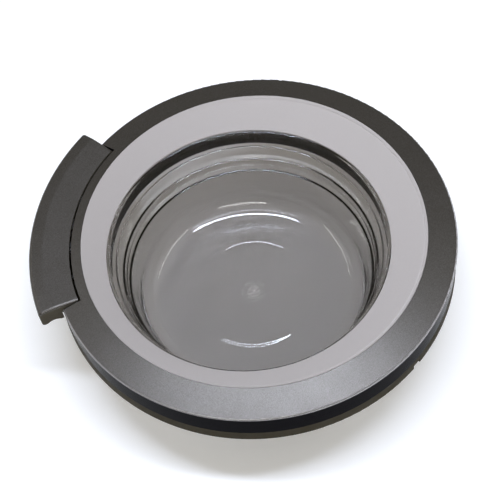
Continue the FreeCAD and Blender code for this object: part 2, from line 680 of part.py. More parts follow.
def hinge_bracket():
    """Machine-side bracket: a barrel between the ears and a plate with two screw holes."""
    end = hinge_x - BRACKET_LENGTH
    neck = hinge_x - BRACKET_NECK
    body = plate([(hinge_x, -BRACKET_NECK_HALF), (hinge_x, BRACKET_NECK_HALF), (neck, BRACKET_NECK_HALF),
                  (neck, BRACKET_HALF, BRACKET_CORNER), (end, BRACKET_HALF, BRACKET_CORNER),
                  (end, -BRACKET_HALF, BRACKET_CORNER), (neck, -BRACKET_HALF, BRACKET_CORNER),
                  (neck, -BRACKET_NECK_HALF)], hinge_z - BRACKET_T / 2, hinge_z + BRACKET_T / 2)
    barrel = rod(BARREL_R, hinge_x, hinge_z, -HINGE_HALF, HINGE_HALF)
    bore = rod(HINGE_PIN_R + 2 * PIN_RUN + BUSH_WALL, hinge_x, hinge_z, -HINGE_HALF, HINGE_HALF)
    hole = post(BRACKET_HOLE_R, hinge_z - BRACKET_T, hinge_z + BRACKET_T, bracket_hole_x(), BRACKET_HOLE_Y)
    return joined([body, barrel]).cut([bore] + both_sides(hole))


def hinge_bush(side):
    """Flanged plastic bush in one end of the bracket's barrel."""
    outer_r = HINGE_PIN_R + PIN_RUN + BUSH_WALL
    sleeve = rod(outer_r, hinge_x, hinge_z, HINGE_HALF - BUSH_LENGTH, HINGE_HALF)
    flange = rod(BARREL_R, hinge_x, hinge_z, HINGE_HALF, HINGE_HALF + BUSH_FLANGE)
    bush = joined([sleeve, flange]).cut(rod(HINGE_PIN_R + PIN_RUN, hinge_x, hinge_z, 0, LONG))
    return both_sides(bush)[side]


def hinge_pin():
    """Axle of the hinge, through both ears."""
    half = HINGE_HALF + BUSH_FLANGE + FIT + EAR_T + CLIP_T * 2
    return rod(HINGE_PIN_R, hinge_x, hinge_z, -half, half)


def hinge_pin_clips():
    """Clips at both ends of the hinge pin, outside the ears."""
    outside = HINGE_HALF + BUSH_FLANGE + FIT + EAR_T
    clip = spring_clip(hinge_x, hinge_z, outside, HINGE_PIN_R + PIN_RUN, EAR_R - CLIP_T, HINGE_CLIP_SLOT)
    return Part.makeCompound(both_sides(clip))


def main():
    """Build every piece and write it to its own file."""
    pieces = {
        "front_frame": front_frame(),
        "trim_ring": trim_ring(),
        "glass_bowl": glass_bowl(),
        "rear_frame": rear_frame(),
        "frame_screws": frame_screws(),
        "handle_cover": handle_cover(),
        "handle_lever": handle_lever(),
        "handle_pin": handle_pin(),
        "pin_clips": pin_clips(),
        "latch_bracket": latch_bracket(),
        "latch_bracket_screws": latch_bracket_screws(),
        "latch_hook": latch_hook(),
        "spring_left": spring(0),
        "spring_right": spring(1),
        "hinge_leaf": hinge_leaf(),
        "hinge_backing_plate": hinge_backing_plate(),
        "hinge_screws": hinge_screws(),
        "hinge_bracket": hinge_bracket(),
        "hinge_bush_upper": hinge_bush(0),
        "hinge_bush_lower": hinge_bush(1),
        "hinge_pin": hinge_pin(),
        "hinge_pin_clips": hinge_pin_clips(),
    }
    os.makedirs("parts", exist_ok=True)
    for name, shape in pieces.items():
        shape.exportStep(f"parts/{name}.step")
        print(f"{name}: {len(shape.Solids)} solids, {shape.Volume / 1000:.2f} cm3, valid {shape.isValid()}")


main()
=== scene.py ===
"""Looks of a front-loader washing machine door that lies face up on its glass bowl.

Metres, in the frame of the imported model: the origin is on the porthole axis, in the plane of the
bowl's underside. +Z points out of the door's front, the pull handle is at -X and the hinge at +X.
"""

import json
import logging
import math
from dataclasses import dataclass, field
from enum import Enum

import bmesh
import bpy
from mathutils import Matrix, Vector

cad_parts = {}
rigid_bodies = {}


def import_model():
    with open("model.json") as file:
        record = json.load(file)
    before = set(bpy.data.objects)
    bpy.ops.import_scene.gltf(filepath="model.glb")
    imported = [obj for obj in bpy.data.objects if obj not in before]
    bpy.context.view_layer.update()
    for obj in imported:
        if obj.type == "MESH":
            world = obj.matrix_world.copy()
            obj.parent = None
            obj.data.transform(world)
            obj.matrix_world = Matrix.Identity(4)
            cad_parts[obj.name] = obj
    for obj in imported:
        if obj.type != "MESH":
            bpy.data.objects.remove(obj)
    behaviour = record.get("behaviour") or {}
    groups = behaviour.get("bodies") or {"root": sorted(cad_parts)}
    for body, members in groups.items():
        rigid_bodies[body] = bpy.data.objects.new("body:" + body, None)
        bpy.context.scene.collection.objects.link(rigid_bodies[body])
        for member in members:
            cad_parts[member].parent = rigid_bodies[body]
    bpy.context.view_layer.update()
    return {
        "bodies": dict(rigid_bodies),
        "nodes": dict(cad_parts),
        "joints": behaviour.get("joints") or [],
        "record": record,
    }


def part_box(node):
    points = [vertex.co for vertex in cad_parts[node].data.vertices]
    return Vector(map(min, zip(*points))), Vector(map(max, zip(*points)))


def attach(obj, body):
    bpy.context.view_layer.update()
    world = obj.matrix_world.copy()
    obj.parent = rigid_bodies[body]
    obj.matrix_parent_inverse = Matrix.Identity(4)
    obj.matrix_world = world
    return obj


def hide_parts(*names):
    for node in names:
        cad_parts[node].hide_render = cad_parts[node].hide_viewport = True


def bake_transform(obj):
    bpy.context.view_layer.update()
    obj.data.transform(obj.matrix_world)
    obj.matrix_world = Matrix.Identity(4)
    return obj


logging.basicConfig(level=logging.INFO, format="%(message)s")
LOG = logging.getLogger("door")

Colour = tuple[float, float, float]
Corner = tuple[float, float, float]
Span = tuple[float, float]
MM = 0.001
WELD = 1e-6                     # metres; points closer than this become one
CLOUD_SPAN: Span = (0.3, 0.7)   # where most values of a cloud pattern lie
MIX_INPUTS = (0, 6, 7)          # a Mix node's share, first colour and second colour
MIX_OUTPUT = 2                  # its mixed colour


class Body(Enum):
    """Bodies of the record; the new pieces here ride on the door."""

    DOOR = "door"
    HOOK = "hook"


class Slot(Enum):
    """Names of material slots in the record."""

    GLASS = "glass"
    ZINC_STEEL = "zinc_steel"
    SPRING_STEEL = "spring_steel"


class Fastener(Enum):
    """Groups of screws, named as their CAD nodes."""

    FRAME = "frame_screws"
    LATCH = "latch_bracket_screws"
    HINGE = "hinge_screws"


class NodeSheet:
    """Material with one Principled shader, and short calls that add nodes to it."""

    def __init__(self, name: str) -> None:
        """Start an empty material with its shader wired to the output.

        Args:
            name: name of the material.
        """
        self.material = bpy.data.materials.new(name)
        self.material.use_nodes = True
        self.tree = self.material.node_tree
        self.tree.nodes.clear()
        self.output = self.tree.nodes.new("ShaderNodeOutputMaterial")
        self.shader = self.tree.nodes.new("ShaderNodeBsdfPrincipled")
        self.coordinates = self.tree.nodes.new("ShaderNodeTexCoord")
        self.link(self.shader.outputs["BSDF"], self.output.inputs["Surface"])

    def link(self, source: bpy.types.NodeSocket, target: bpy.types.NodeSocket) -> None:
        """Wire one socket to another."""
        self.tree.links.new(source, target)

    def constant(self, **values: float | Colour) -> None:
        """Set shader sockets to values that are the same all over the surface.

        Args:
            values: socket names with underscores for spaces, and their values.
        """
        for name, value in values.items():
            socket = self.shader.inputs[name.replace("_", " ")]
            socket.default_value = (*value, 1.0) if isinstance(value, tuple) else value

    def drive(self, name: str, source: bpy.types.NodeSocket) -> None:
        """Wire a source to one of the shader's sockets."""
        self.link(source, self.shader.inputs[name])

    def placed(self, stretch: Corner) -> bpy.types.NodeSocket:
        """Give object coordinates, stretched along the axes.

        Args:
            stretch: scale of the pattern along X, Y and Z.

        Returns:
            The vector socket.
        """
        mapping = self.tree.nodes.new("ShaderNodeMapping")
        mapping.inputs["Scale"].default_value = stretch
        self.link(self.coordinates.outputs["Object"], mapping.inputs["Vector"])
        return mapping.outputs["Vector"]

    def noise(self, scale: float, detail: float = 2.0, stretch: Corner = (1.0, 1.0, 1.0)) -> bpy.types.NodeSocket:
        """Add a soft cloud pattern.

        Args:
            scale: pattern repeats per metre.
            detail: octaves of finer pattern.
            stretch: scale of the pattern along X, Y and Z.

        Returns:
            The pattern's value, between 0 and 1.
        """
        node = self.tree.nodes.new("ShaderNodeTexNoise")
        node.inputs["Scale"].default_value = scale
        node.inputs["Detail"].default_value = detail
        self.link(self.placed(stretch), node.inputs["Vector"])
        return node.outputs["Fac"]

    def cells(self, scale: float, output: str = "Distance") -> bpy.types.NodeSocket:
        """Add a pattern of irregular cells.

        Args:
            scale: cells per metre.
            output: name of the pattern's output socket.

        Returns:
            The chosen output.
        """
        node = self.tree.nodes.new("ShaderNodeTexVoronoi")
        node.inputs["Scale"].default_value = scale
        self.link(self.coordinates.outputs["Object"], node.inputs["Vector"])
        return node.outputs[output]

    def remap(self, source: bpy.types.NodeSocket, start: float, end: float, low: float,
              high: float) -> bpy.types.NodeSocket:
        """Map a value from one range to another, held at the ends.

        Args:
            source: value to map.
            start: source value that gives low.
            end: source value that gives high.
            low: result at start.
            high: result at end.

        Returns:
            The mapped value.
        """
        node = self.tree.nodes.new("ShaderNodeMapRange")
        for name, value in (("From Min", start), ("From Max", end), ("To Min", low), ("To Max", high)):
            node.inputs[name].default_value = value
        self.link(source, node.inputs["Value"])
        return node.outputs["Result"]

    def spread(self, clouds: bpy.types.NodeSocket, low: float = 0.0, high: float = 1.0) -> bpy.types.NodeSocket:
        """Spread the usual values of a cloud pattern over a range.

        Args:
            clouds: the pattern.
            low: result at its low values.
            high: result at its high values.

        Returns:
            The mapped value.
        """
        return self.remap(clouds, *CLOUD_SPAN, low, high)

    def product(self, first: bpy.types.NodeSocket, second: bpy.types.NodeSocket) -> bpy.types.NodeSocket:
        """Multiply two values.

        Args:
            first: one value.
            second: the other value.

        Returns:
            The product.
        """
        node = self.tree.nodes.new("ShaderNodeMath")
        node.operation = "MULTIPLY"
        self.link(first, node.inputs[0])
        self.link(second, node.inputs[1])
        return node.outputs[0]

    def blend(self, share: bpy.types.NodeSocket, first: Colour | bpy.types.NodeSocket,
              second: Colour | bpy.types.NodeSocket) -> bpy.types.NodeSocket:
        """Mix two colours.

        Args:
            share: share of the second colour.
            first: colour at share 0.
            second: colour at share 1.

        Returns:
            The mixed colour.
        """
        node = self.tree.nodes.new("ShaderNodeMix")
        node.data_type = "RGBA"
        factor, low, high = (node.inputs[number] for number in MIX_INPUTS)
        self.link(share, factor)
        for socket, colour in ((low, first), (high, second)):
            if isinstance(colour, tuple):
                socket.default_value = (*colour, 1.0)
            else:
                self.link(colour, socket)
        return node.outputs[MIX_OUTPUT]

    def facing_up(self, start: float, end: float) -> bpy.types.NodeSocket:
        """Give 0 on upright walls and 1 on faces that look out of the door's front.

        Args:
            start: upward share of the surface normal that gives 0.
            end: upward share of the surface normal that gives 1.

        Returns:
            The share.
        """
        split = self.tree.nodes.new("ShaderNodeSeparateXYZ")
        self.link(self.coordinates.outputs["Normal"], split.inputs["Vector"])
        return self.remap(split.outputs["Z"], start, end, 0.0, 1.0)

    def bump(self, height: bpy.types.NodeSocket, depth: float, strength: float = 1.0) -> None:
        """Wire a height pattern to the shader's normal.

        Args:
            height: height pattern between 0 and 1.
            depth: depth of the relief in metres.
            strength: share of the relief that shows.
        """
        node = self.tree.nodes.new("ShaderNodeBump")
        node.inputs["Strength"].default_value = strength
        node.inputs["Distance"].default_value = depth
        self.link(height, node.inputs["Height"])
        self.drive("Normal", node.outputs["Normal"])


@dataclass(frozen=True)
class GraphiteLacquer:
    """Graphite lacquer with metal flake, painted shade on upright walls and a painted highlight along rounded edges,
    which are also smoother.

    The spans named after faces are upward shares of the surface normal.
    """

    name: str
    # painted shade: upright walls take this darker colour in place of the shade and dark reflections they show
    wall: Colour
    # painted highlight: rounded edges take this lighter colour in place of the highlight line they catch
    edge_highlight: Colour
    shade: Colour = (0.083, 0.0765, 0.067)
    flake: Colour = (0.143, 0.135, 0.130)
    flakes_per_metre: float = 2200.0
    flake_span: Span = (0.15, 1.0)
    flake_depth: float = 0.00003
    flake_strength: float = 0.6
    wall_to_edge: Span = (0.05, 0.45)
    edge_to_face: Span = (0.80, 0.95)
    worn_to_face: Span = (0.3, 0.94)
    worn_share: float = 0.3
    clouds_per_metre: float = 45.0
    roughness: Span = (0.385, 0.42)
    metal: float = 0.85
    gloss: float = 0.004

    def material(self) -> bpy.types.Material:
        """Build the lacquer."""
        sheet = NodeSheet(self.name)
        spark = sheet.remap(sheet.cells(self.flakes_per_metre, "Color"), *self.flake_span, 0.0, 1.0)
        face = sheet.blend(spark, self.shade, self.flake)
        # painted shade: this share keeps upright walls in the wall colour, without metal
        unshaded = sheet.facing_up(*self.wall_to_edge)
        # painted highlight: rounded edges blend from the face towards the lighter edge colour
        edge_highlighted = sheet.blend(sheet.facing_up(*self.edge_to_face), self.edge_highlight, face)
        sheet.drive("Base Color", sheet.blend(unshaded, self.wall, edge_highlighted))
        sheet.drive("Metallic", sheet.remap(unshaded, 0.0, 1.0, 0.0, self.metal))
        matt = sheet.spread(sheet.noise(self.clouds_per_metre), *self.roughness)
        worn = sheet.remap(sheet.facing_up(*self.worn_to_face), 0.0, 1.0, self.worn_share, 1.0)
        sheet.drive("Roughness", sheet.product(worn, matt))
        sheet.constant(Specular_IOR_Level=self.gloss)
        sheet.bump(sheet.cells(self.flakes_per_metre), self.flake_depth, self.flake_strength)
        return sheet.material


@dataclass(frozen=True)
class SatinSilver:
    """Pale silver satin lacquer with a very fine grain."""

    body: Colour = (0.437, 0.405, 0.391)
    pale: Colour = (0.470, 0.438, 0.424)
    grains_per_metre: float = 2200.0
    grain_span: Span = (0.35, 0.65)
    grain_depth: float = 0.00002
    grain_strength: float = 0.3
    clouds_per_metre: float = 60.0
    roughness: Span = (0.50, 0.60)
    gloss: float = 0.2

    def material(self) -> bpy.types.Material:
        """Build the lacquer."""
        sheet = NodeSheet("satin_silver")
        grain = sheet.noise(self.grains_per_metre, 1.0)
        share = sheet.remap(grain, *self.grain_span, 0.0, 1.0)
        sheet.drive("Base Color", sheet.blend(share, self.body, self.pale))
        sheet.drive("Roughness", sheet.spread(sheet.noise(self.clouds_per_metre), *self.roughness))
        sheet.constant(Specular_IOR_Level=self.gloss)
        sheet.bump(grain, self.grain_depth, self.grain_strength)
        return sheet.material


@dataclass(frozen=True)
class PressedGlass:
    """Pressed glass with the faint waves that the mould leaves, and a grey tint that paints the shade seen through the
    bowl.
    """

    # painted shade: this grey tint darkens what is seen through the bowl in place of the shade under it
    shade_tint: Colour = (0.50, 0.483, 0.472)
    ior: float = 1.5
    hazes_per_metre: float = 12.0
    haze_span: Span = (0.35, 0.75)
    haze: float = 0.03
    waves_per_metre: float = 34.0
    wave_stretch: Corner = (1.0, 1.0, 2.5)
    wave_depth: float = 0.0004
    wave_strength: float = 0.5

    def material(self) -> bpy.types.Material:
        """Build the glass."""
        sheet = NodeSheet("pressed_glass")
        sheet.constant(Base_Color=self.shade_tint, Transmission_Weight=1.0, IOR=self.ior)
        sheet.drive("Roughness", sheet.remap(sheet.noise(self.hazes_per_metre), *self.haze_span, 0.0, self.haze))
        sheet.bump(sheet.noise(self.waves_per_metre, 1.0, self.wave_stretch), self.wave_depth, self.wave_strength)
        return sheet.material


@dataclass(frozen=True)
class MouldedPlastic:
    """Matte moulded plastic with a spark-eroded grain."""

    name: str
    body: Colour
    pale: Colour
    roughness: Span = (0.50, 0.66)
    gloss: float = 0.25
    tones_per_metre: float = 28.0
    clouds_per_metre: float = 90.0
    grains_per_metre: float = 1400.0
    grain_depth: float = 0.00006
    grain_strength: float = 0.5

    def material(self) -> bpy.types.Material:
        """Build the plastic."""
        sheet = NodeSheet(self.name)
        tone = sheet.spread(sheet.noise(self.tones_per_metre, 3.0))
        sheet.drive("Base Color", sheet.blend(tone, self.body, self.pale))
        sheet.drive("Roughness", sheet.spread(sheet.noise(self.clouds_per_metre), *self.roughness))
        sheet.constant(Specular_IOR_Level=self.gloss)
        sheet.bump(sheet.cells(self.grains_per_metre), self.grain_depth, self.grain_strength)
        return sheet.material


@dataclass(frozen=True)
class SteelFinish:
    """Bare or plated steel with drawn or cloudy variation."""

    name: str
    body: Colour
    pale: Colour
    roughness: Span
    grain_stretch: Corner = (1.0, 1.0, 1.0)
    grains_per_metre: float = 300.0
    grain_depth: float = 0.00002
    grain_strength: float = 0.4

    def material(self) -> bpy.types.Material:
        """Build the metal."""
        sheet = NodeSheet(self.name)
        grain = sheet.noise(self.grains_per_metre, 3.0, self.grain_stretch)
        sheet.drive("Base Color", sheet.blend(sheet.spread(grain), self.body, self.pale))
        sheet.drive("Roughness", sheet.spread(grain, *self.roughness))
        sheet.constant(Metallic=1.0)
        sheet.bump(grain, self.grain_depth, self.grain_strength)
        return sheet.material


@dataclass(frozen=True)
class FinishSet:
    """Every finish of the door, ready to assign."""

    graphite: bpy.types.Material
    handle: bpy.types.Material
    silver: bpy.types.Material
    glass: bpy.types.Material
    rear: bpy.types.Material
    black: bpy.types.Material
    zinc: bpy.types.Material
    ground: bpy.types.Material
    spring: bpy.types.Material
    cast: bpy.types.Material
    nylon: bpy.types.Material

    @classmethod
    def built(cls) -> "FinishSet":
        """Build each finish once."""
        drawn = (1.0, 0.04, 1.0)
        return cls(
            # The wall colours are painted shade on upright walls, and the edge colours a painted highlight on rounded
            # edges.
            graphite=GraphiteLacquer("graphite_lacquer", wall=(0.003, 0.0025, 0.004),
                                     edge_highlight=(0.42, 0.41, 0.42)).material(),
            handle=GraphiteLacquer("handle_lacquer", wall=(0.095, 0.085, 0.066),
                                   edge_highlight=(0.113, 0.106, 0.100)).material(),
            silver=SatinSilver().material(),
            glass=PressedGlass().material(),
            rear=MouldedPlastic("umber_plastic", (0.046, 0.040, 0.026), (0.058, 0.050, 0.034), gloss=0.03).material(),
            black=MouldedPlastic("black_plastic", (0.010, 0.010, 0.010), (0.017, 0.017, 0.017)).material(),
            zinc=SteelFinish("zinc_plate", (0.47, 0.48, 0.50), (0.60, 0.60, 0.58), (0.26, 0.42)).material(),
            ground=SteelFinish("ground_steel", (0.55, 0.55, 0.55), (0.68, 0.68, 0.68), (0.16, 0.28), drawn).material(),
            spring=SteelFinish("spring_wire", (0.20, 0.20, 0.21), (0.30, 0.30, 0.31), (0.24, 0.36)).material(),
            cast=SteelFinish("die_cast_zinc", (0.36, 0.37, 0.38), (0.46, 0.46, 0.47), (0.42, 0.58),
                             grains_per_metre=700.0, grain_depth=0.00006).material(),
            nylon=MouldedPlastic("natural_nylon", (0.66, 0.63, 0.55), (0.74, 0.72, 0.65), (0.38, 0.48)).material(),
        )


class TreeSheet:
    """Geometry Nodes tree with named inputs, and short calls that add nodes to it."""

    def __init__(self, name: str, inputs: dict[str, str]) -> None:
        """Start a tree.

        Args:
            name: name of the tree.
            inputs: names of the inputs and their socket types.
        """
        self.tree = bpy.data.node_groups.new(name, "GeometryNodeTree")
        self.tree.interface.new_socket(name="Geometry", in_out="INPUT", socket_type="NodeSocketGeometry")
        for label, kind in inputs.items():
            self.tree.interface.new_socket(name=label, in_out="INPUT", socket_type=kind)
        self.tree.interface.new_socket(name="Geometry", in_out="OUTPUT", socket_type="NodeSocketGeometry")
        self.start = self.tree.nodes.new("NodeGroupInput")
        self.end = self.tree.nodes.new("NodeGroupOutput")

    def add(self, kind: str, inputs: dict[str | int, object] | None = None, **settings: object) -> bpy.types.Node:
        """Add a node and wire or set its inputs.

        Args:
            kind: type of the node.
            inputs: input names or numbers, each with a socket to wire or a value to set.
            settings: properties of the node.

        Returns:
            The node.
        """
        node = self.tree.nodes.new(kind)
        for label, value in settings.items():
            setattr(node, label, value)
        for label, value in (inputs or {}).items():
            if isinstance(value, bpy.types.NodeSocket):
                self.tree.links.new(value, node.inputs[label])
            else:
                node.inputs[label].default_value = value
        return node

    def math(self, operation: str, first: object, second: object = 0.0) -> bpy.types.NodeSocket:
        """Add a sum, product or other operation on two values.

        Args:
            operation: name of the operation.
            first: first socket or value.
            second: second socket or value.

        Returns:
            The result.
        """
        return self.add("ShaderNodeMath", {0: first, 1: second}, operation=operation).outputs[0]

    def ramp(self, value: object, start: object, end: object) -> bpy.types.NodeSocket:
        """Map a value to 0 at start and 1 at end, held at the ends.

        Args:
            value: socket to map.
            start: value that gives 0.
            end: value that gives 1.

        Returns:
            The share.
        """
        return self.add("ShaderNodeMapRange", {"Value": value, "From Min": start, "From Max": end}).outputs["Result"]

    def turned(self, profile: bpy.types.NodeSocket, segments: bpy.types.NodeSocket) -> bpy.types.NodeSocket:
        """Turn a profile line in the XZ plane about the Z axis.

        Args:
            profile: mesh of points in a row.
            segments: number of steps in a full turn.

        Returns:
            The closed skin.
        """
        count = self.add("GeometryNodeAttributeDomainSize", {"Geometry": profile}).outputs["Point Count"]
        columns = self.math("ADD", segments, 1.0)
        grid = self.add("GeometryNodeMeshGrid", {"Vertices X": columns, "Vertices Y": count})
        index = self.add("GeometryNodeInputIndex").outputs["Index"]
        row = self.math("MODULO", index, count)
        column = self.math("FLOOR", self.math("DIVIDE", self.math("ADD", index, 0.5), count))
        place = self.add("GeometryNodeInputPosition").outputs["Position"]
        sample = self.add("GeometryNodeSampleIndex", {"Geometry": profile, "Index": row},
                          data_type="FLOAT_VECTOR", domain="POINT")
        value = next(s for s in sample.inputs if s.name == "Value" and s.enabled)
        self.tree.links.new(place, value)
        result = next(s for s in sample.outputs if s.enabled)
        split = self.add("ShaderNodeSeparateXYZ", {"Vector": result})
        angle = self.math("DIVIDE", self.math("MULTIPLY", column, 2 * math.pi), segments)
        x = self.math("MULTIPLY", split.outputs["X"], self.math("COSINE", angle))
        y = self.math("MULTIPLY", split.outputs["X"], self.math("SINE", angle))
        spot = self.add("ShaderNodeCombineXYZ", {"X": x, "Y": y, "Z": split.outputs["Z"]})
        skin = self.add("GeometryNodeSetPosition", {"Geometry": grid.outputs["Mesh"],
                                                    "Position": spot.outputs["Vector"]})
        return self.add("GeometryNodeMergeByDistance", {"Geometry": skin.outputs["Geometry"],
                                                        "Distance": WELD}).outputs["Geometry"]

    def finish(self, geometry: bpy.types.NodeSocket) -> None:
        """End the tree in realized geometry with its material.

        Args:
            geometry: what the tree has made.
        """
        real = self.add("GeometryNodeRealizeInstances", {"Geometry": geometry})
        dressed = self.add("GeometryNodeSetMaterial", {"Geometry": real.outputs["Geometry"],
                                                       "Material": self.start.outputs["Material"]})
        self.tree.links.new(dressed.outputs["Geometry"], self.end.inputs["Geometry"])

    def bake(self, name: str, source: bpy.types.Mesh, values: dict[str, object]) -> bpy.types.Object:
        """Run the tree on a mesh and keep the result as a plain piece.

        Args:
            name: name of the piece.
            source: mesh that goes into the tree.
            values: input names and their values.

        Returns:
            The piece, in the scene.
        """
        carrier = bpy.data.objects.new(name + "_source", source)
        bpy.context.scene.collection.objects.link(carrier)
        modifier = carrier.modifiers.new("tree", "NODES")
        modifier.node_group = self.tree
        for item in self.tree.interface.items_tree:
            if item.in_out == "INPUT" and item.name in values:
                modifier[item.identifier] = values[item.name]
        graph = bpy.context.evaluated_depsgraph_get()
        mesh = bpy.data.meshes.new_from_object(carrier.evaluated_get(graph))
        carrier.modifiers.remove(modifier)
        bpy.data.objects.remove(carrier)
        mesh.name = name
        return placed_piece(name, mesh)


def placed_piece(name: str, mesh: bpy.types.Mesh) -> bpy.types.Object:
    """Put a mesh into the scene as a piece at the origin, its faces turned outwards.

    Args:
        name: name of the piece.
        mesh: its mesh.

    Returns:
        The piece.
    """
    work = bmesh.new()
    work.from_mesh(mesh)
    bmesh.ops.remove_doubles(work, verts=work.verts, dist=WELD)
    bmesh.ops.recalc_face_normals(work, faces=work.faces)
    work.to_mesh(mesh)
    work.free()
    piece = bpy.data.objects.new(name, mesh)
    bpy.context.scene.collection.objects.link(piece)
    return piece


def rounded_path(corners: list[Corner], steps: int) -> list[Vector]:
    """Turn corners with roundings into the points of a smooth line in the XZ plane.

    Args:
        corners: distance from the axis, height and rounding of each corner, in millimetres.
        steps: points on each rounding, less one.

    Returns:
        Points in metres.
    """
    places = [Vector((x, 0.0, z)) for x, z, _ in corners]
    points: list[Vector] = []
    for index, (_, _, radius) in enumerate(corners):
        corner = places[index]
        if radius == 0.0 or index in (0, len(corners) - 1):
            points.append(corner * MM)
            continue
        back = (places[index - 1] - corner).normalized()
        ahead = (places[index + 1] - corner).normalized()
        half = back.angle(ahead) / 2
        centre = corner + (back + ahead).normalized() * (radius / math.sin(half))
        start = corner + back * (radius / math.tan(half)) - centre
        turn = math.pi - 2 * half
        way = -1.0 if back.cross(ahead).y > 0 else 1.0
        for step in range(steps + 1):
            spin = Matrix.Rotation(way * turn * step / steps, 3, "Y")
            points.append((centre + spin @ start) * MM)
    return points


def divided(points: list[Vector], step: float) -> list[Vector]:
    """Add points along the longer runs of a line.

    Args:
        points: points of the line, in metres.
        step: longest run that stays whole, in millimetres.

    Returns:
        The line with the added points.
    """
    finer = [points[0]]
    for start, end in zip(points, points[1:]):
        parts = max(1, math.ceil((end - start).length / (step * MM)))
        finer += [start.lerp(end, part / parts) for part in range(1, parts + 1)]
    return finer


def line_mesh(name: str, points: list[Vector]) -> bpy.types.Mesh:
    """Make a mesh of points joined by edges in a row."""
    mesh = bpy.data.meshes.new(name)
    mesh.from_pydata([tuple(p) for p in points], [(i, i + 1) for i in range(len(points) - 1)], [])
    return mesh


def dress(frame: dict, finish: bpy.types.Material, *nodes: str) -> None:
    """Give CAD nodes a finish.

    Args:
        frame: the loaded frame.
        finish: material to assign.
        nodes: names of the nodes.
    """
    for name in nodes:
        slots = frame["nodes"][name].data.materials
        slots.clear()
        slots.append(finish)
        LOG.info("%s dressed in %s", name, finish.name)


@dataclass
class FrameRings:
    """Graphite front frame, silver trim and the rear frame."""

    finishes: FinishSet

    def dress(self, frame: dict) -> None:
        """Dress the rings."""
        dress(frame, self.finishes.graphite, "front_frame")
        dress(frame, self.finishes.silver, "trim_ring")
        dress(frame, self.finishes.rear, "rear_frame")


